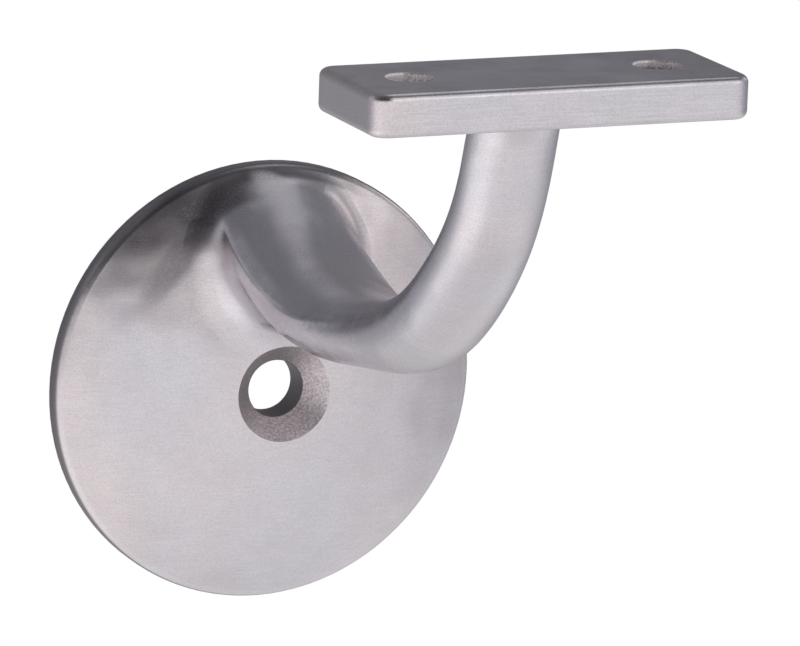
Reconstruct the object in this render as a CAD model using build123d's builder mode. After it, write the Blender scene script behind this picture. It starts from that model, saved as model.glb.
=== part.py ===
from build123d import *
import os
from math import cos, pi, radians, sin, sqrt

# Handrail bracket, cast in one piece of stainless steel. Sizes are in millimetres.
# The wall is the plane y = 0 and the arm reaches out along -Y. X runs along the wall and the rail, Z is up.
# The origin lies in the wall plane, on the axis of the round wall plate.

# Wall plate: a domed disc with a shallow hollow in its back
plate_diameter = 70.0
plate_crown = 11.6  # height of the dome at its middle
plate_edge = 2.8  # height of the rim before it is rounded
plate_edge_round = 1.6
hollow_depth = 2.4
land_width = 5.0  # the flat ring that bears on the wall
hollow_round = 1.5

# Countersunk screw hole through the middle of the plate
screw_hole = 9.1
countersink_diameter = 15.5
countersink_angle = 80.0

# Saddle: the flat plate that carries the rail
saddle_length = 58.8
saddle_width = 22.8
saddle_thickness = 6.4
saddle_top = 68.7  # height over the axis of the wall plate
saddle_reach = 100.8  # from the wall to the middle of the saddle
saddle_corner = 2.8
saddle_edge = 1.2
saddle_hole = 6.8
saddle_hole_spacing = 38.6
saddle_hole_lip = 0.4

# Arm: its spine is a curve in the middle plane, through points that are measured from the ends it joins
arm_at_plate = [(1.5, 5.0), (10.0, 9.0), (24.0, 14.0)]  # (reach from the wall, distance in from the rim)
arm_low = (42.0, 18.6)  # (reach from the wall, height)
arm_at_saddle = [(30.6, 42.8), (14.0, 27.2), (7.9, 15.5), (4.4, 3.4)]  # (back from its middle, below its top)
arm_root_slope = -28.0  # degrees from level, outwards
arm_end_slope = 72.0
root_fillet = 7.0

outline_points = 32  # points round each cross-section of the arm
ridge_closeness = 0.25  # draws these points together near the ridges; 0 spreads them evenly


class Section:
    """A cross-section of the arm. It is widest on the spine, where a ridge can run along each side."""

    def __init__(self, place, half_width, above, below, top_ridge=0.0, under_ridge=0.0, boxy=0.0):
        self.place = place  # share of the spine's length
        self.half_width = half_width
        self.above = above
        self.below = below
        self.top_ridge = top_ridge  # 0 where the upper side rolls over into the flank, more for a keener ridge
        self.under_ridge = under_ridge  # the same for the under side
        self.boxy = boxy  # 0 for a round upper side, 1 for a square one

    def outline(self):
        """Points round the section, x across the arm and y to its upper side."""
        ring = []
        for step in range(outline_points):
            turn = 2 * pi * step / outline_points
            angle = turn - ridge_closeness * sin(2 * turn)
            side = 1 if cos(angle) > 0 else -1
            if sin(angle) > 0:
                across = abs(cos(angle)) ** (1 - self.boxy)
                height = self.above * sin(angle) ** (1 + self.top_ridge)
            else:
                across = abs(cos(angle))
                height = -self.below * abs(sin(angle)) ** (1 + self.under_ridge)
            ring.append((side * self.half_width * across, height))
        return ring


arm_sections = [
    Section(0.00, 10.5, 4.0, 12.5),
    Section(0.06, 10.4, 3.6, 11.5, 0.1),
    Section(0.12, 10.6, 3.4, 10.4, 0.4),
    Section(0.20, 10.6, 3.4, 9.6, 0.6),
    Section(0.30, 10.0, 3.8, 8.0, 0.5),
    Section(0.45, 9.0, 5.0, 6.1, 0.2),
    Section(0.60, 7.9, 5.5, 6.2),
    Section(0.74, 7.4, 5.4, 5.2, 0.0, 0.1, 0.1),
    Section(0.87, 7.0, 4.8, 4.9, 0.0, 0.2, 0.3),
    Section(0.95, 6.9, 4.6, 5.3, 0.0, 0.2, 0.3),
    Section(1.00, 6.9, 4.6, 10.4, 0.0, 0.2, 0.3),
]

plate_radius = plate_diameter / 2
countersink_radius = countersink_diameter / 2
saddle_hole_radius = saddle_hole / 2
saddle_under = saddle_top - saddle_thickness


def dome_height(radius):
    """Height of the dome over the wall, at a distance from the plate's axis."""
    return plate_crown - dome_radius + sqrt(dome_radius**2 - radius**2)


dome_rise = plate_crown - plate_edge
dome_radius = (plate_radius**2 + dome_rise**2) / (2 * dome_rise)
dome_centre = Vector(0, dome_radius - plate_crown, 0)

with BuildPart() as bracket:
    # Wall plate, turned about its axis
    with BuildSketch(Plane.XY):
        with BuildLine():
            rim_corner = (plate_radius, -plate_edge)
            crown = (0, -plate_crown)
            Polyline(crown, (0, 0), (plate_radius, 0), rim_corner)
            RadiusArc(rim_corner, crown, dome_radius)
        make_face()
    revolve(axis=Axis.Y)
    circles = bracket.edges().filter_by(GeomType.CIRCLE)
    rim = circles.filter_by(lambda e: abs(e.radius - plate_radius) < 0.01)
    fillet(rim.sort_by(Axis.Y)[0], plate_edge_round)

    # Arm, lofted through its sections
    with BuildLine(Plane.YZ, mode=Mode.PRIVATE) as spine:
        Spline(
            *[(-reach, plate_radius - inset) for reach, inset in arm_at_plate],
            (-arm_low[0], arm_low[1]),
            *[(back - saddle_reach, saddle_top - drop) for back, drop in arm_at_saddle],
            tangents=[(-cos(radians(slope)), sin(radians(slope))) for slope in (arm_root_slope, arm_end_slope)],
        )
    for section in arm_sections:
        here = spine.line @ section.place
        with BuildSketch(Plane(origin=here, x_dir=(1, 0, 0), z_dir=spine.line % section.place)):
            with BuildLine():
                Spline(*section.outline(), periodic=True)
            make_face()
    loft()
    split(bisect_by=Plane.XZ, keep=Keep.TOP)

    # Sweeping fillet where the arm grows out of the dome, above the plate's axis
    curves = bracket.edges().filter_by(GeomType.BSPLINE).filter_by(lambda e: e.bounding_box().min.Z > 0)
    root = curves.filter_by(lambda e: abs((e @ 0.5 - dome_centre).length - dome_radius) < 0.01)
    fillet(root, root_fillet)

    # Saddle, with its edges rounded
    with BuildSketch(Plane.XY.offset(saddle_under)):
        with Locations((0, -saddle_reach)):
            RectangleRounded(saddle_length, saddle_width, saddle_corner)
    extrude(amount=saddle_thickness)
    saddle_faces = bracket.faces().filter_by(Plane.XY).filter_by(lambda f: f.center().Z > saddle_under - 0.01)
    fillet([face.outer_wire().edges() for face in saddle_faces], saddle_edge)

    # Hollow in the back of the plate
    with BuildSketch(Plane.XZ):
        Circle(plate_radius - land_width)
    extrude(amount=hollow_depth, mode=Mode.SUBTRACT)
    hollow_floor = bracket.faces().filter_by(Plane.XZ).sort_by(Axis.Y)[-2]
    fillet(hollow_floor.outer_wire().edges(), hollow_round)

    # Countersunk hole for the wall screw
    with Locations(Plane(origin=(0, -dome_height(countersink_radius), 0), z_dir=(0, -1, 0))):
        CounterSinkHole(screw_hole / 2, countersink_radius, plate_crown, countersink_angle)

    # Two holes for the screws into the rail
    with Locations(Plane.XY.offset(saddle_top)):
        with Locations((0, -saddle_reach)):
            with GridLocations(saddle_hole_spacing, 0, 2, 1):
                Hole(saddle_hole_radius, saddle_thickness)
    circles = bracket.edges().filter_by(GeomType.CIRCLE)
    fillet(circles.filter_by(lambda e: abs(e.radius - saddle_hole_radius) < 0.01), saddle_hole_lip)

bracket.part.label = "bracket"
os.makedirs("parts", exist_ok=True)
export_step(bracket.part, "parts/bracket.step")
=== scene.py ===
"""Looks of a handrail bracket: one stainless steel casting, brushed to a satin finish.

The visible faces carry fine brushing lines: along the saddle, round the arm and across the plate.
Light and shade are painted into the colour round the arm's root: dark patches, light streaks and
ridges, and lighter and darker bands on the rim. The insides of the screw holes and the back of the
plate keep the rough skin of the casting, with painted light and shade in the holes.
"""

import logging
import math
from dataclasses import dataclass
from enum import Enum
from typing import Any, Optional, Union

import bpy
from mathutils import Matrix, Vector

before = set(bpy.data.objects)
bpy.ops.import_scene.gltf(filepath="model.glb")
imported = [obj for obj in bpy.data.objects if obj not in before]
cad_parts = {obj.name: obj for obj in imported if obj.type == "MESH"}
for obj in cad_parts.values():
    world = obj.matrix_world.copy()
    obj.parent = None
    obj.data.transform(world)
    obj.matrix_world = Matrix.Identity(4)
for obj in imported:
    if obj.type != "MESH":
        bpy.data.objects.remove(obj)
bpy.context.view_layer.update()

MM = 0.001
MEAN = 0.5  # what a noise is on average
SOFT = 1 * MM  # how far a zone inside the casting fades out past its own edge
log = logging.getLogger("bracket")

Colour = tuple[float, float, float]
Direction = tuple[float, float, float]
Span = tuple[float, float]  # where a smooth change starts and where it ends
Number = Union[float, "Wire"]

WHITE: Colour = (1.0, 1.0, 1.0)


class Wire:
    """One output socket of a node sheet that takes part in arithmetic."""

    def __init__(self, sheet: "NodeSheet", socket: bpy.types.NodeSocket) -> None:
        """Wraps a socket.

        Args:
            sheet: The node sheet that holds the socket.
            socket: The output socket to wrap.
        """
        self.sheet = sheet
        self.socket = socket

    def _math(self, operation: str, *terms: Number) -> "Wire":
        """Adds a Math node and returns its result.

        Args:
            operation: The Math node's operation.
            terms: The node's values, in order.

        Returns:
            The node's output.
        """
        return self.sheet.node("ShaderNodeMath", {"operation": operation}, dict(enumerate(terms)))

    def __add__(self, other: Number) -> "Wire":
        """Returns self + other."""
        return self._math("ADD", self, other)

    def __radd__(self, other: float) -> "Wire":
        """Returns other + self."""
        return self._math("ADD", other, self)

    def __sub__(self, other: Number) -> "Wire":
        """Returns self - other."""
        return self._math("SUBTRACT", self, other)

    def __rsub__(self, other: float) -> "Wire":
        """Returns other - self."""
        return self._math("SUBTRACT", other, self)

    def __mul__(self, other: Number) -> "Wire":
        """Returns self * other."""
        return self._math("MULTIPLY", self, other)

    def __rmul__(self, other: float) -> "Wire":
        """Returns other * self."""
        return self._math("MULTIPLY", other, self)

    def __abs__(self) -> "Wire":
        """Returns the size of self without its sign."""
        return self._math("ABSOLUTE", self)

    def __pow__(self, other: Number) -> "Wire":
        """Returns self to the power of other."""
        return self._math("POWER", self, other)

    def length_with(self, other: "Wire") -> "Wire":
        """Returns the length of the vector whose two sides are self and other."""
        return (self * self + other * other) ** 0.5

    def angle_to(self, other: "Wire") -> "Wire":
        """Returns the angle, in radians, of the vector (other, self)."""
        return self._math("ARCTAN2", self, other)

    def clipped(self) -> "Wire":
        """Returns self kept between 0 and 1."""
        return self._math("MAXIMUM", self._math("MINIMUM", self, 1.0), 0.0)

    def largest(self, other: Number) -> "Wire":
        """Returns the larger of self and other."""
        return self._math("MAXIMUM", self, other)

    def swing(self, strength: float) -> "Wire":
        """Returns self, a noise, as a swing of this strength about 0."""
        return (self - MEAN) * strength

    def toward(self, other: Number, share: "Wire") -> "Wire":
        """Returns self where the share is 0, other where it is 1, and a mixture between."""
        return self * (1.0 - share) + share * other

    def ramp(
        self, low: float, high: float, at_low: float = 0.0, at_high: float = 1.0
    ) -> "Wire":
        """Maps self smoothly from one range to another and holds the ends.

        Args:
            low: The value that maps to at_low.
            high: The value that maps to at_high.
            at_low: The result at low and before it.
            at_high: The result at high and past it.

        Returns:
            The mapped value.
        """
        settings = {"interpolation_type": "SMOOTHSTEP"}
        inputs = {0: self, 1: low, 2: high, 3: at_low, 4: at_high}
        return self.sheet.node("ShaderNodeMapRange", settings, inputs)

    def rise(self, span: Span, to: float = 1.0) -> "Wire":
        """Returns 0 before the span and 1, or another level, past it."""
        return self.ramp(*span, 0.0, to)

    def fall(self, span: Span, to: float = 0.0) -> "Wire":
        """Returns 1 before the span and 0, or another level, past it."""
        return self.ramp(*span, 1.0, to)


@dataclass(frozen=True)
class Noise:
    """A noise pattern."""

    wave: float  # length of its waves
    layers: float  # how many finer layers are added
    roughness: float  # how strong the finer layers are


class NodeSheet:
    """The nodes of one material or world."""

    def __init__(self, owner: Union[bpy.types.Material, bpy.types.World]) -> None:
        """Empties the owner's node tree.

        Args:
            owner: The material or world whose nodes are laid out.
        """
        owner.use_nodes = True
        self.tree = owner.node_tree
        self.tree.nodes.clear()

    def node(
        self,
        kind: str,
        settings: Optional[dict[str, Any]] = None,
        inputs: Optional[dict[Union[int, str], Any]] = None,
        output: Union[int, str] = 0,
    ) -> Wire:
        """Adds one node.

        Args:
            kind: The node's type.
            settings: Attributes of the node, set before its sockets are filled.
            inputs: A value or wire for each socket, by name or number.
            output: The output that is returned, by name or number.

        Returns:
            The chosen output, which is empty on an output node.
        """
        made = self.tree.nodes.new(kind)
        for name, value in (settings or {}).items():
            setattr(made, name, value)
        for key, value in (inputs or {}).items():
            socket = made.inputs[key]
            if isinstance(value, Wire):
                self.tree.links.new(value.socket, socket)
            else:
                socket.default_value = value
        return Wire(self, made.outputs[output] if made.outputs else None)

    def vector(self, x: Number, y: Number, z: Number) -> Wire:
        """Returns the vector with these three parts."""
        return self.node("ShaderNodeCombineXYZ", None, {0: x, 1: y, 2: z})

    def split(self, vector: Wire) -> tuple[Wire, Wire, Wire]:
        """Returns the three parts of a vector."""
        outputs = self.node("ShaderNodeSeparateXYZ", None, {0: vector}).socket.node.outputs
        return Wire(self, outputs[0]), Wire(self, outputs[1]), Wire(self, outputs[2])

    def noise(self, vector: Wire, kind: Noise) -> Wire:
        """Adds a noise pattern.

        Args:
            vector: Where the pattern is read.
            kind: The pattern, with its waves in units of the vector.

        Returns:
            The pattern's value, MEAN on average.
        """
        inputs = {
            "Vector": vector,
            "Scale": 1 / kind.wave,
            "Detail": kind.layers,
            "Roughness": kind.roughness,
        }
        return self.node("ShaderNodeTexNoise", {"noise_dimensions": "3D"}, inputs)

    def blend(
        self, share: Wire, first: Union[Wire, Colour], second: Union[Wire, Colour]
    ) -> Wire:
        """Mixes two colours.

        Args:
            share: How much of the second colour is used, from 0 to 1.
            first: The colour at 0.
            second: The colour at 1.

        Returns:
            The mixed colour.
        """
        colours = [c if isinstance(c, Wire) else (*c, 1.0) for c in (first, second)]
        settings = {"data_type": "RGBA", "blend_type": "MIX"}
        inputs = {0: share, 6: colours[0], 7: colours[1]}
        return self.node("ShaderNodeMix", settings, inputs, output=2)


class Zone(Enum):
    """The parts that are brushed in their own direction, with how clearly the lines show."""

    SADDLE = 1.0
    ARM = 0.35
    PLATE = 0.40


@dataclass(frozen=True)
class CastingSizes:
    """Sizes and places on the casting that its finish depends on, in metres."""

    saddle_top: float = 68.7 * MM
    saddle_under: float = 62.3 * MM
    saddle_reach: float = 100.8 * MM
    saddle_hole: float = 3.4 * MM  # a radius, as are the other holes, the hollow and the rim
    saddle_hole_place: float = 19.3 * MM
    countersink: float = 7.75 * MM
    screw_hole: float = 4.55 * MM
    hollow: float = 30.0 * MM
    hollow_depth: float = 2.4 * MM
    rim: float = 35.0 * MM
    plate_height: float = 11.6 * MM
    arm_hub: tuple[float, float] = (-42.0 * MM, 62.0 * MM)  # the Y and Z about which the arm sweeps
    arm_sweep: float = 46.0 * MM  # and how far from there


@dataclass(frozen=True)
class Ground:
    """What the finish is drawn on: the place on the casting and what its parts share."""

    sheet: NodeSheet
    sizes: CastingSizes
    point: Wire
    x: Wire  # along the wall
    y: Wire  # 0 in the wall plane and negative towards the rail
    z: Wire  # height over the plate's axis
    from_axis: Wire  # distance from the plate's axis
    grain: Wire  # a fine noise
    rubbed: Wire  # a soft noise, a few millimetres long
    pits: Wire  # a coarse and sharp noise
    in_plate: Wire  # 1 as close to the wall as the plate's crown, 0 farther out
    in_saddle: Wire  # 1 at the saddle's height and 0 below it


@dataclass(frozen=True)
class Patch:
    """An oval patch of the finish, as seen square to the wall, with a soft and frayed edge."""

    x: float
    z: float
    turn: float  # degrees that its long axis rises from level, towards +X
    half_length: float
    half_width: float
    fading: Span = (0.45, 1.15)  # as shares of its size
    fraying: float = 0.8

    def share(self, ground: Ground) -> Wire:
        """Draws the patch.

        Args:
            ground: What the patch is drawn on.

        Returns:
            1 in the middle of the patch and 0 outside it.
        """
        turn = math.radians(self.turn)
        x, z = ground.x - self.x, ground.z - self.z
        along = (x * math.cos(turn) + z * math.sin(turn)) * (1 / self.half_length)
        aside = (z * math.cos(turn) - x * math.sin(turn)) * (1 / self.half_width)
        return (along.length_with(aside) + ground.rubbed.swing(self.fraying)).fall(self.fading)


@dataclass(frozen=True)
class TintAndPaintedLight:
    """A warmer tint on the plate and beside the root, and the light and shade painted into the
    colour there.

    Places and lengths are in metres. Each method returns 1 on its mark and 0 elsewhere.
    """

    # warmer grey on the left of the plate and in the hollows beside the root
    left_outwards: Span = (24 * MM, 34 * MM)
    left_across: Span = (-30 * MM, -12 * MM)
    root_side_starts: Span = (8 * MM, 12 * MM)
    root_side_ends: Span = (20 * MM, 28 * MM)
    root_side_over: Span = (6 * MM, 14 * MM)
    root_side_deep: Span = (-20 * MM, -12 * MM)
    # painted shade: dark patches beside the root
    shoulder: Patch = Patch(-11.0 * MM, 30.0 * MM, 21.0, 10.0 * MM, 4.6 * MM)
    foot: Patch = Patch(-17.5 * MM, 20.5 * MM, 52.0, 8.0 * MM, 2.4 * MM)
    foot_strength: float = 0.6
    patches_deep: Span = (-9.0 * MM, -7.0 * MM)
    # the rim, with light and shade painted into its colour: a lighter band, a dark outermost edge
    # and a dark stretch at the top
    rim_band: Span = (-1.7 * MM, -0.9 * MM)
    rim_band_over: Span = (4 * MM, 24 * MM)
    rim_edge: Span = (-0.40 * MM, -0.08 * MM)
    rim_deep: Span = (-3.6 * MM, -3.0 * MM)
    rim_top: Span = (-2.6 * MM, -1.8 * MM)
    rim_top_over: Span = (24 * MM, 31 * MM)
    rim_top_across: Span = (10 * MM, 18 * MM)
    rim_top_deep: Span = (-4.8 * MM, -3.8 * MM)
    # painted highlights, which are also rougher: light streaks down the arm's upper side, on each
    # ridge, and a crest over the root
    streak_over: Span = (18.5 * MM, 20.5 * MM)
    streak_starts: Span = (-54 * MM, -40 * MM)
    streak_ends: Span = (-8.0 * MM, -3.8 * MM)
    streak_drifts: Span = (-30 * MM, 0.0)
    streak_middle: Span = (-3.3 * MM, 0.6 * MM)
    streak_side: Span = (0.2 * MM, 3.6 * MM)
    ridge: float = 9.8 * MM
    ridge_side: Span = (0.4 * MM, 1.7 * MM)
    ridge_starts: Span = (-34 * MM, -24 * MM)
    ridge_ends: Span = (-15 * MM, -10 * MM)
    ridge_strength: float = 0.9
    crest: Patch = Patch(-0.8 * MM, 32.7 * MM, -14.0, 3.8 * MM, 1.5 * MM)
    patchy: Span = (0.62, 0.95)
    patchy_least: float = 0.25
    patchy_rubbed: float = 0.6

    def warm(self, ground: Ground) -> Wire:
        """Finds the warmer grey of the plate's left edge and of the hollows beside the root.

        Args:
            ground: What the finish is drawn on.

        Returns:
            1 there and 0 elsewhere.
        """
        left = ground.from_axis.rise(self.left_outwards) * ground.x.fall(self.left_across)
        aside = abs(ground.x)
        beside_root = aside.rise(self.root_side_starts) * aside.fall(self.root_side_ends)
        inwards = ground.z.rise(self.root_side_over) * ground.y.rise(self.root_side_deep)
        return left.largest(beside_root * inwards)

    def painted_shade_patches(self, ground: Ground) -> Wire:
        """Finds the painted shade: the dark patches beside the root.

        Args:
            ground: What the finish is drawn on.

        Returns:
            1 there and 0 elsewhere.
        """
        patches = self.shoulder.share(ground).largest(self.foot.share(ground) * self.foot_strength)
        return patches * ground.y.rise(self.patches_deep)

    def painted_light_rim(self, ground: Ground) -> Wire:
        """Finds the painted light: a lighter band on the rim, which fades out upwards.

        Args:
            ground: What the finish is drawn on.

        Returns:
            1 there and 0 elsewhere.
        """
        band = (ground.from_axis - ground.sizes.rim).rise(self.rim_band)
        return band * ground.y.rise(self.rim_deep) * ground.z.fall(self.rim_band_over)

    def painted_dark_rim(self, ground: Ground) -> Wire:
        """Finds the painted shade along the dark outermost edge of the rim.

        Args:
            ground: What the finish is drawn on.

        Returns:
            1 there and 0 elsewhere.
        """
        edge = (ground.from_axis - ground.sizes.rim).rise(self.rim_edge)
        return edge * ground.y.rise(self.rim_deep)

    def painted_dark_top(self, ground: Ground) -> Wire:
        """Finds the painted shade of the dark stretch along the top of the rim, behind the root.

        Args:
            ground: What the finish is drawn on.

        Returns:
            1 there and 0 elsewhere.
        """
        band = (ground.from_axis - ground.sizes.rim).rise(self.rim_top)
        stretch = ground.z.rise(self.rim_top_over) * ground.x.fall(self.rim_top_across)
        return band * ground.y.rise(self.rim_top_deep) * stretch

    def streaks(self, ground: Ground) -> Wire:
        """Finds the painted highlights: light, dull streaks on the arm's upper side and ridges, and
        the crest over the root.

        Args:
            ground: What the finish is drawn on.

        Returns:
            1 there and 0 elsewhere.
        """
        x, y, z = ground.x, ground.y, ground.z
        upper = z.rise(self.streak_over) * y.rise(self.streak_starts) * y.fall(self.streak_ends)
        drifted = x - y.ramp(*self.streak_drifts, *self.streak_middle)
        middle = abs(drifted).fall(self.streak_side)
        ridge = abs(abs(x) - self.ridge).fall(self.ridge_side) * y.rise(self.ridge_starts)
        ridge = ridge * y.fall(self.ridge_ends) * self.ridge_strength
        crest = self.crest.share(ground) * y.rise(self.patches_deep)
        patchy = ground.grain + ground.rubbed * self.patchy_rubbed
        drawn = (upper * middle.largest(ridge)).largest(crest)
        return drawn * patchy.ramp(*self.patchy, self.patchy_least, 1.0)


@dataclass(frozen=True)
class CastSkin:
    """The rough skin of the casting, which is left in the holes and in the hollow of the back.

    Lengths are in metres, and each edge is a span across the circle or plane that it follows.
    """

    dark: Colour = (0.560, 0.500, 0.515)
    light: Colour = (1.000, 0.920, 0.940)
    # painted shade on the right side of each saddle hole
    painted_hole_shade: Colour = (0.180, 0.120, 0.100)
    # painted shade: the dark colour of the screw hole's drilled wall, also used on the shaded side
    # of the countersink
    drilled: Colour = (0.215, 0.195, 0.205)
    roughness: float = 0.50
    metallic: float = 0.75
    relief: float = 3.0
    pit: Noise = Noise(0.36 * MM, 4.0, 0.65)
    pitting: Span = (0.34, 0.70)

    countersink_edge: Span = (-0.15 * MM, 0.05 * MM)
    screw_hole_edge: Span = (0.02 * MM, 0.12 * MM)
    saddle_hole_edge: Span = (0.15 * MM, 0.35 * MM)
    hollow_edge: Span = (-0.2 * MM, 0.2 * MM)
    hollow_floor: Span = (-0.1 * MM, 0.1 * MM)

    # painted shade: the upper left side of the countersink and of the hollow is darker
    shaded_over: Span = (-4 * MM, 8 * MM)
    shaded_strength: float = 0.60
    # painted light and shade: each hole of the saddle is lighter on its left side and darker on its
    # right one
    between_holes: Span = (-1 * MM, 1 * MM)
    hole_light_side: Span = (-2.4 * MM, 1.6 * MM)
    hole_light_strength: float = 0.8
    hole_shade_side: Span = (-2.8 * MM, 0.0)
    hole_shade_below: Span = (-1.4 * MM, -0.5 * MM)
    hole_shade_strength: float = 0.90
    hole_shade_across: Span = (-9 * MM, 9 * MM)
    hole_shade_left: float = 0.35
    hole_shade_pits: Span = (0.40, 0.56)
    hole_shade_on_pits: float = 0.55

    def zone(self, ground: Ground) -> Wire:
        """Finds where the skin is left.

        Args:
            ground: What the finish is drawn on.

        Returns:
            1 on the skin and on the drilled wall, and 0 elsewhere.
        """
        sizes = ground.sizes
        screw_hole = (ground.from_axis - sizes.countersink).fall(self.countersink_edge)
        hollow = (ground.from_axis - sizes.hollow).fall(self.hollow_edge)
        hollow = hollow * (ground.y + sizes.hollow_depth).rise(self.hollow_floor)
        aside = abs(ground.x) - sizes.saddle_hole_place
        from_hole = aside.length_with(ground.y + sizes.saddle_reach)
        saddle_hole = (from_hole - sizes.saddle_hole).fall(self.saddle_hole_edge)
        in_plate = (screw_hole * ground.in_plate).largest(hollow)
        return in_plate.largest(saddle_hole * ground.in_saddle)

    def drilled_wall(self, ground: Ground) -> Wire:
        """Finds the smooth wall that the drill left in the screw hole.

        Args:
            ground: What the finish is drawn on.

        Returns:
            1 there and 0 elsewhere.
        """
        from_wall = ground.from_axis - ground.sizes.screw_hole
        return from_wall.fall(self.screw_hole_edge) * ground.in_plate

    def colour(self, ground: Ground) -> Wire:
        """Mixes the skin's colour, with painted light and shade in the holes and on the
        countersink.

        Args:
            ground: What the finish is drawn on.

        Returns:
            The colour.
        """
        sheet, sizes, x, y, z = ground.sheet, ground.sizes, ground.x, ground.y, ground.z
        place = sizes.saddle_hole_place
        from_hole = x - x.ramp(*self.between_holes, -place, place)
        # painted light on the left side of each saddle hole, painted shade on its right side
        hole_light_share = ground.in_saddle * from_hole.fall(self.hole_light_side) * self.hole_light_strength
        hole_shade_share = (z - sizes.saddle_top).fall(self.hole_shade_below) * self.hole_shade_strength
        hole_shade_share = hole_shade_share * ground.in_saddle * from_hole.rise(self.hole_shade_side)
        hole_shade_share = hole_shade_share * x.ramp(*self.hole_shade_across, self.hole_shade_left, 1.0)
        hole_shade_share = hole_shade_share * ground.pits.fall(self.hole_shade_pits, self.hole_shade_on_pits)
        near_wall = y.ramp(-sizes.saddle_reach / 2, -sizes.plate_height * 2)
        shaded = (z - x).rise(self.shaded_over, self.shaded_strength) * near_wall
        skin = sheet.blend(ground.pits.rise(self.pitting), self.dark, self.light)
        skin = sheet.blend(hole_light_share, skin, WHITE)
        skin = sheet.blend(shaded, skin, self.drilled)
        return sheet.blend(hole_shade_share, skin, self.painted_hole_shade)


@dataclass(frozen=True)
class BrushedSteel:
    """Satin stainless steel with brushing lines, painted light and shade, and patches of casting
    skin.
    """

    name: str = "brushed_cast_steel"
    tint_and_painted_light: TintAndPaintedLight = TintAndPaintedLight()
    skin: CastSkin = CastSkin()

    cool: Colour = (0.630, 0.611, 0.660)
    warm: Colour = (0.712, 0.638, 0.646)
    worn: Colour = (0.440, 0.412, 0.430)
    # colour of painted shade: dark patches beside the root and dark bands on the rim
    painted_shade: Colour = (0.215, 0.200, 0.212)
    # colour of painted light: the rim's lighter band and the highlight streaks
    painted_highlight: Colour = (0.920, 0.890, 0.920)

    cloud: Noise = Noise(26 * MM, 3.0, 0.55)  # soft patches of cool and warm grey
    clouding: Span = (0.32, 0.66)
    warmth: float = 0.55
    worn_everywhere: float = 0.20
    worn_lines: float = 1.10
    worn_grain: float = 1.20
    worn_rubbed: float = 0.30
    saddle_face: Span = (-0.8 * MM, -0.1 * MM)
    worn_rubbed_on_saddle: float = 1.3
    # the saddle's top is darker towards the right
    saddle_right: Span = (8 * MM, 24 * MM)
    darkening_to_saddle_right: float = 0.45
    shade_patch_grain: Span = (0.30, 0.60)
    shade_patch_least: float = 0.72
    painted_dark_rim_strength: float = 0.8
    painted_dark_top_strength: float = 0.7
    painted_light_rim_strength: float = 0.3
    painted_highlight_strength: float = 0.9

    roughness: float = 0.28
    sanded_roughness: float = 0.52
    rough_lines: float = 0.16
    rough_rubbed: float = 0.10
    rough_on_shade_patches: float = 0.14

    line_width: float = 0.22 * MM
    line_length: float = 9.0 * MM
    line: Noise = Noise(1.0, 2.0, 0.6)  # in units of its own width and length
    plate_shortening: float = 2.5
    plate_run_out: float = 6 * MM  # over this length the arm's lines turn into the plate's
    saddle_run_out: Span = (-0.2 * MM, 0.2 * MM)
    grain: Noise = Noise(0.28 * MM, 2.0, 0.6)
    rubbing: Noise = Noise(6 * MM, 2.0, 0.5)
    wave: Noise = Noise(9.0 * MM, 1.0, 0.4)  # the soft waves of grinding by hand
    wave_depth: float = 0.50 * MM
    wave_calm: float = 0.8  # how much calmer the waves are on the saddle and the back
    flat_below_saddle: float = 8 * MM
    flat_back: Span = (-1.2 * MM, -0.4 * MM)
    relief_lines: float = 0.65
    relief_grain: float = 0.35
    relief_strength: float = 0.35
    relief_depth: float = 0.03 * MM

    def make(self, sizes: CastingSizes) -> bpy.types.Material:
        """Builds the material.

        Args:
            sizes: Where the casting's parts and holes are.

        Returns:
            The finished material.
        """
        material = bpy.data.materials.new(self.name)
        sheet = NodeSheet(material)
        ground = self._ground(sheet, sizes)
        lines = self._brushing(ground)
        cast, drilled = self.skin.zone(ground), self.skin.drilled_wall(ground)
        skinned = cast * (1.0 - drilled)
        # masks of painted shade and painted light
        painted_shade_patches, streaks = self.tint_and_painted_light.painted_shade_patches(ground), self.tint_and_painted_light.streaks(ground)
        painted_light_rim = self.tint_and_painted_light.painted_light_rim(ground)

        steel = self._brushed_colour(ground, lines)
        steel = self._marked_colour(ground, steel, painted_shade_patches, streaks, painted_light_rim)
        steel = sheet.blend(cast, steel, self.skin.colour(ground))
        dull = painted_light_rim.largest(streaks) * (self.sanded_roughness - self.roughness)
        uneven = lines.swing(self.rough_lines) + ground.rubbed.swing(self.rough_rubbed)
        satin = self.roughness + uneven + dull + painted_shade_patches * self.rough_on_shade_patches
        inputs = {
            # the drilled wall of the screw hole gets the colour of painted shade
            "Base Color": sheet.blend(drilled, steel, self.skin.drilled),
            "Metallic": 1.0 - skinned * (1.0 - self.skin.metallic),
            "Roughness": satin.toward(self.skin.roughness, cast),
            "Normal": self._relief(ground, lines, cast, skinned),
        }
        surface = sheet.node("ShaderNodeBsdfPrincipled", None, inputs)
        sheet.node("ShaderNodeOutputMaterial", None, {"Surface": surface})
        return material

    def _ground(self, sheet: NodeSheet, sizes: CastingSizes) -> Ground:
        """Reads the place on the casting and the noises there.

        Args:
            sheet: The node sheet to draw on.
            sizes: Where the casting's parts and holes are.

        Returns:
            What the finish is drawn on.
        """
        point = sheet.node("ShaderNodeTexCoord", output="Object")
        x, y, z = sheet.split(point)
        return Ground(
            sheet=sheet,
            sizes=sizes,
            point=point,
            x=x,
            y=y,
            z=z,
            from_axis=x.length_with(z),
            grain=sheet.noise(point, self.grain),
            rubbed=sheet.noise(point, self.rubbing),
            pits=sheet.noise(point, self.skin.pit),
            in_plate=y.ramp(-sizes.plate_height - SOFT, -sizes.plate_height),
            in_saddle=z.ramp(sizes.saddle_under - SOFT, sizes.saddle_under),
        )

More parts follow.
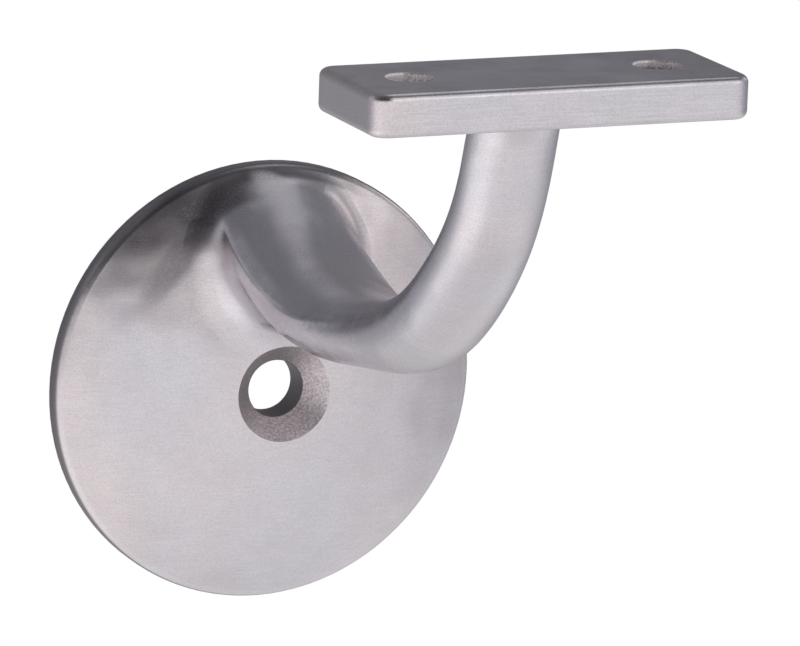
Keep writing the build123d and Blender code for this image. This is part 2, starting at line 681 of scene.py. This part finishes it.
    def _brushing(self, ground: Ground) -> Wire:
        """Draws the fine lines that the abrasive left, which run their own way on each part.

        Args:
            ground: What the finish is drawn on.

        Returns:
            The pattern's value, MEAN on average.
        """
        sheet, sizes, x, y, z = ground.sheet, ground.sizes, ground.x, ground.y, ground.z
        across, along = 1 / self.line_width, 1 / self.line_length
        hub_y, hub_z = sizes.arm_hub
        from_hub_y, from_hub_z = y - hub_y, z - hub_z
        sweep = from_hub_z.angle_to(from_hub_y) * sizes.arm_sweep
        radius = from_hub_y.length_with(from_hub_z)
        drawn = {
            Zone.SADDLE: sheet.vector(x * along, y * across, z * across),
            Zone.ARM: sheet.vector(x * along, sweep * across, radius * along),
            Zone.PLATE: sheet.vector(x * along * self.plate_shortening, y * along, z * across),
        }
        lines = {
            zone: MEAN + sheet.noise(vector, self.line).swing(zone.value)
            for zone, vector in drawn.items()
        }
        on_plate = y.ramp(-sizes.plate_height - self.plate_run_out, -sizes.plate_height)
        on_saddle = (z - sizes.saddle_under).rise(self.saddle_run_out)
        body = lines[Zone.ARM].toward(lines[Zone.PLATE], on_plate)
        return body.toward(lines[Zone.SADDLE], on_saddle)

    def _brushed_colour(self, ground: Ground, lines: Wire) -> Wire:
        """Mixes the colour of the plainly brushed faces.

        Args:
            ground: What the finish is drawn on.
            lines: The brushing lines.

        Returns:
            The colour: cool and warm grey, with a speckle of worn steel.
        """
        sheet, rubbed = ground.sheet, ground.rubbed
        clouds = sheet.noise(ground.point, self.cloud).rise(self.clouding)
        warmth = (clouds + self.tint_and_painted_light.warm(ground)) * self.warmth
        tint = sheet.blend(warmth.clipped(), self.cool, self.warm)
        worn = lines.swing(self.worn_lines) + ground.grain.swing(self.worn_grain)
        worn = worn + rubbed.swing(self.worn_rubbed) + self.worn_everywhere
        # the saddle's top is darker towards the right
        right = ground.x.rise(self.saddle_right, self.darkening_to_saddle_right)
        on_face = (ground.z - ground.sizes.saddle_top).rise(self.saddle_face)
        worn = worn + on_face * (rubbed.swing(self.worn_rubbed_on_saddle) + right)
        return sheet.blend(worn.clipped(), tint, self.worn)

    def _marked_colour(
        self, ground: Ground, colour: Wire, painted_shade_patches: Wire, streaks: Wire, painted_light_rim: Wire
    ) -> Wire:
        """Paints light and shade into a colour.

        Args:
            ground: What the finish is drawn on.
            colour: The colour of the brushed faces.
            painted_shade_patches: 1 on the patches of painted shade beside the root.
            streaks: 1 on the painted highlight streaks.
            painted_light_rim: 1 on the painted lighter band of the rim.

        Returns:
            The colour with the painted light and shade on it.
        """
        sheet = ground.sheet
        painted_dark_rim = self.tint_and_painted_light.painted_dark_rim(ground)
        painted_dark_top = self.tint_and_painted_light.painted_dark_top(ground) * self.painted_dark_top_strength
        grained = ground.grain.ramp(*self.shade_patch_grain, self.shade_patch_least, 1.0)
        # painted light: the rim's lighter band and the highlight streaks
        light = painted_light_rim * (1.0 - painted_dark_rim) * self.painted_light_rim_strength
        # painted shade: dark patches beside the root, the rim's outer edge and the top of the rim
        dark = (painted_dark_rim * self.painted_dark_rim_strength).largest(painted_dark_top)
        colour = sheet.blend(painted_shade_patches * grained, colour, self.painted_shade)
        colour = sheet.blend(dark, colour, self.painted_shade)
        return sheet.blend(light.largest(streaks * self.painted_highlight_strength), colour, self.painted_highlight)

    def _relief(self, ground: Ground, lines: Wire, cast: Wire, skinned: Wire) -> Wire:
        """Raises the soft waves of the grinding, the brushing lines and the pits of the skin.

        Args:
            ground: What the finish is drawn on.
            lines: The brushing lines.
            cast: 1 on the casting skin and the drilled wall.
            skinned: 1 on the casting skin alone.

        Returns:
            The surface's normal.
        """
        sheet, under = ground.sheet, ground.sizes.saddle_under
        on_saddle = ground.z.ramp(under - self.flat_below_saddle, under)
        flat = on_saddle.largest(ground.y.rise(self.flat_back)) * self.wave_calm
        waves = sheet.noise(ground.point, self.wave) * (1.0 - flat)
        fine = (lines * self.relief_lines + ground.grain * self.relief_grain) * (1.0 - cast)
        fine = fine + ground.pits * self.skin.relief * skinned
        inputs = {"Strength": 1.0, "Distance": self.wave_depth, "Height": waves}
        form = sheet.node("ShaderNodeBump", None, inputs)
        inputs = {
            "Strength": self.relief_strength,
            "Distance": self.relief_depth,
            "Height": fine,
            "Normal": form,
        }
        return sheet.node("ShaderNodeBump", None, inputs)


@dataclass(frozen=True)
class Casting:
    """The bracket itself. Its shape comes from model.glb, and its finish is added here."""

    sizes: CastingSizes = CastingSizes()
    finish: BrushedSteel = BrushedSteel()

    def dress(self) -> bpy.types.Object:
        """Gives the casting its finish.

        Returns:
            The casting's object.
        """
        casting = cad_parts["bracket"]
        casting.data.materials.clear()
        casting.data.materials.append(self.finish.make(self.sizes))
        return casting


@dataclass(frozen=True)
class Softbox:
    """A square lamp that faces the bracket."""

    name: str
    turn: float  # degrees round from straight in front, positive towards +X
    rise: float  # degrees above the level
    distance: float
    size: float
    brightness: float  # 1 is as bright as white

    def place(self, target: Vector) -> bpy.types.Object:
        """Adds the lamp.

        Args:
            target: The point that the lamp faces.

        Returns:
            The lamp's object.
        """
        turn, rise = math.radians(self.turn), math.radians(self.rise)
        level = math.cos(rise)
        out = Vector((math.sin(turn) * level, -math.cos(turn) * level, math.sin(rise)))
        lamp = bpy.data.lights.new(self.name, "AREA")
        lamp.shape = "SQUARE"
        lamp.size = self.size
        lamp.energy = self.brightness * math.pi * self.size**2
        holder = bpy.data.objects.new(self.name, lamp)
        bpy.context.scene.collection.objects.link(holder)
        holder.location = target + out * self.distance
        holder.rotation_euler = out.to_track_quat("Z", "Y").to_euler()
        return holder


@dataclass(frozen=True)
class Surroundings:
    """The room round the bracket: white below and in front, dark overhead and dim behind.

    It is drawn by direction: x to the right, y into the wall and z up, each from -1 to 1.
    """

    dusk: Colour = (0.95, 0.96, 1.04)  # tint of its dark parts

    # below and in front
    front: float = 1.02
    straight_down: float = 0.86
    steep: Span = (-1.0, -0.70)
    falls_to_right: float = 0.08
    under_wall: float = 0.66
    towards_wall: Span = (0.25, 0.75)
    far_right: float = 0.76
    towards_right: Span = (0.80, 1.0)
    low_left: float = 1.27
    low_left_way: Direction = (-0.76, -0.15, -0.63)
    low_left_span: Span = (0.82, 0.98)

    # overhead
    overhead_left: float = 0.04
    overhead_right: float = 0.21
    overhead_span: Span = (-0.6, 0.6)
    up_span: Span = (0.06, 0.42)
    up_from_right: float = 0.2
    up_slant: float = 0.40

    # behind
    behind_low: float = 0.36
    behind_level: float = 0.24
    behind_span: Span = (-0.4, 0.2)
    behind_left: float = 1.25
    behind_left_span: Span = (-0.8, 0.0)
    away_span: Span = (-0.9, 0.9)
    away_over: Span = (-0.86, -0.15)
    away_slant: float = 0.18
    left_wall: float = 0.52
    left_wall_way: Direction = (-0.85, 0.45, 0.28)
    left_wall_span: Span = (0.84, 1.0)

    def make(self) -> bpy.types.World:
        """Builds the world.

        Returns:
            The world, which the camera sees as plain white.
        """
        world = bpy.data.worlds.new("room")
        sheet = NodeSheet(world)
        x, y, z = sheet.split(sheet.node("ShaderNodeTexCoord", output="Generated"))
        seen = sheet.node("ShaderNodeLightPath", output="Is Camera Ray")
        slanted = z - (x + self.up_from_right).largest(0.0) * self.up_slant
        up = slanted.rise(self.up_span)
        away = (x * self.away_slant + y).rise(self.away_span) * z.rise(self.away_over)
        overhead = (x + y).ramp(*self.overhead_span, self.overhead_left, self.overhead_right)
        behind = z.ramp(*self.behind_span, self.behind_low, self.behind_level)
        behind = behind * x.ramp(*self.behind_left_span, self.behind_left, 1.0)
        on_left_wall = self._along(x, y, z, self.left_wall_way).rise(self.left_wall_span)
        tone = self._below(x, y, z).toward(overhead, up).toward(behind, away)
        tone = tone.toward(self.left_wall, on_left_wall)
        inputs = {
            "Color": sheet.blend(up.largest(away) * (1.0 - seen), WHITE, self.dusk),
            "Strength": tone.toward(1.0, seen),
        }
        light = sheet.node("ShaderNodeBackground", None, inputs)
        sheet.node("ShaderNodeOutputWorld", None, {"Surface": light})
        bpy.context.scene.world = world
        return world

    def _below(self, x: Wire, y: Wire, z: Wire) -> Wire:
        """Finds the brightness below and in front.

        Args:
            x: The direction's part to the right.
            y: Its part into the wall.
            z: Its part upwards.

        Returns:
            The brightness in that direction.
        """
        below = z.ramp(*self.steep, self.straight_down, self.front)
        below = below * (1.0 - x * self.falls_to_right)
        below = below * y.fall(self.towards_wall, self.under_wall)
        below = below * x.fall(self.towards_right, self.far_right)
        low_left = self._along(x, y, z, self.low_left_way)
        return below * low_left.fall(self.low_left_span, self.low_left)

    def _along(self, x: Wire, y: Wire, z: Wire, way: Direction) -> Wire:
        """Returns how far the direction x, y, z goes along a way, 1 when straight along it."""
        return x * way[0] + y * way[1] + z * way[2]


@dataclass(frozen=True)
class Floor:
    """A plain pale floor well below the bracket, which hangs on its wall."""

    height: float = -0.32
    side: float = 14.0
    tone: float = 0.86
    whiteness: float = 0.9  # share of plain white in what the camera sees of it
    white_level: float = 1.09

    def build(self) -> bpy.types.Object:
        """Builds the floor. Polished metal shows the room in its place.

        Returns:
            The floor's object.
        """
        bpy.ops.object.select_all(action="DESELECT")
        bpy.ops.mesh.primitive_plane_add(size=self.side, location=(0, 0, self.height))
        floor = bpy.context.object
        floor.name = "floor"
        material = bpy.data.materials.new("pale_floor")
        sheet = NodeSheet(material)
        pale = {"Color": (self.tone, self.tone, self.tone, 1.0)}
        glow = {"Color": (*WHITE, 1.0), "Strength": self.white_level}
        matt = sheet.node("ShaderNodeBsdfDiffuse", None, pale)
        white = sheet.node("ShaderNodeEmission", None, glow)
        clear = sheet.node("ShaderNodeBsdfTransparent")
        seen = sheet.node("ShaderNodeLightPath", output="Is Camera Ray") * self.whiteness
        mirrored = sheet.node("ShaderNodeLightPath", output="Is Glossy Ray")
        plain = sheet.node("ShaderNodeMixShader", None, {0: seen, 1: matt, 2: white})
        surface = sheet.node("ShaderNodeMixShader", None, {0: mirrored, 1: plain, 2: clear})
        sheet.node("ShaderNodeOutputMaterial", None, {"Surface": surface})
        floor.data.materials.append(material)
        return floor


@dataclass(frozen=True)
class PhotoCamera:
    """The camera, from which the bracket is seen three-quarters from the left and above."""

    turn: float = 23.44  # degrees to the left of straight in front
    rise: float = 13.14  # degrees above the level
    roll: float = 1.90
    distance: float = 1.103
    aim: tuple[float, float] = (-142.2, -54.4)  # the origin from the picture's middle, in pixels
    focal: float = 7000.0  # in pixels
    picture_width: int = 800
    sensor: float = 36.0  # its width, in millimetres

    def place(self) -> bpy.types.Object:
        """Adds the camera and makes it the scene's own.

        Returns:
            The camera's object.
        """
        turn, rise, roll = (math.radians(v) for v in (self.turn, self.rise, self.roll))
        flat = math.cos(rise)
        ahead = Vector((math.sin(turn) * flat, math.cos(turn) * flat, -math.sin(rise)))
        level = Vector((math.cos(turn), -math.sin(turn), 0.0))
        upright = level.cross(ahead)
        right = math.cos(roll) * level + math.sin(roll) * upright
        up = math.cos(roll) * upright - math.sin(roll) * level
        aside, over = (pixels * self.distance / self.focal for pixels in self.aim)
        origin_seen = aside * right + over * up + self.distance * ahead
        lens = bpy.data.cameras.new("camera")
        lens.sensor_width = self.sensor
        lens.lens = self.focal / self.picture_width * self.sensor
        holder = bpy.data.objects.new("camera", lens)
        bpy.context.scene.collection.objects.link(holder)
        turned = Matrix((right, up, -ahead)).transposed().to_4x4()
        holder.matrix_world = Matrix.Translation(-origin_seen) @ turned
        bpy.context.scene.camera = holder
        return holder


LAMP_TARGET = Vector((0, -50 * MM, 20 * MM))  # the middle of the bracket
SOFTBOXES = (
    Softbox("key_softbox", turn=32, rise=35, distance=1.3, size=0.80, brightness=0.85),
    Softbox("overhead_softbox", turn=120, rise=65, distance=1.2, size=0.50, brightness=0.55),
    Softbox("side_softbox", turn=108, rise=22, distance=1.3, size=0.55, brightness=0.60),
)


def main() -> None:
    """Builds the scene, part by part."""
    logging.basicConfig(level=logging.INFO, format="%(message)s")
    casting = Casting().dress()
    log.info("casting: %d faces", len(casting.data.polygons))
    floor = Floor().build()
    log.info("floor: %d face", len(floor.data.polygons))
    world = Surroundings().make()
    log.info("surroundings: %s", world.name)
    for softbox in SOFTBOXES:
        softbox.place(LAMP_TARGET)
        log.info("lamp: %s", softbox.name)
    PhotoCamera().place()
    bpy.context.scene.view_settings.view_transform = "Standard"


if __name__ == "__main__":
    main()
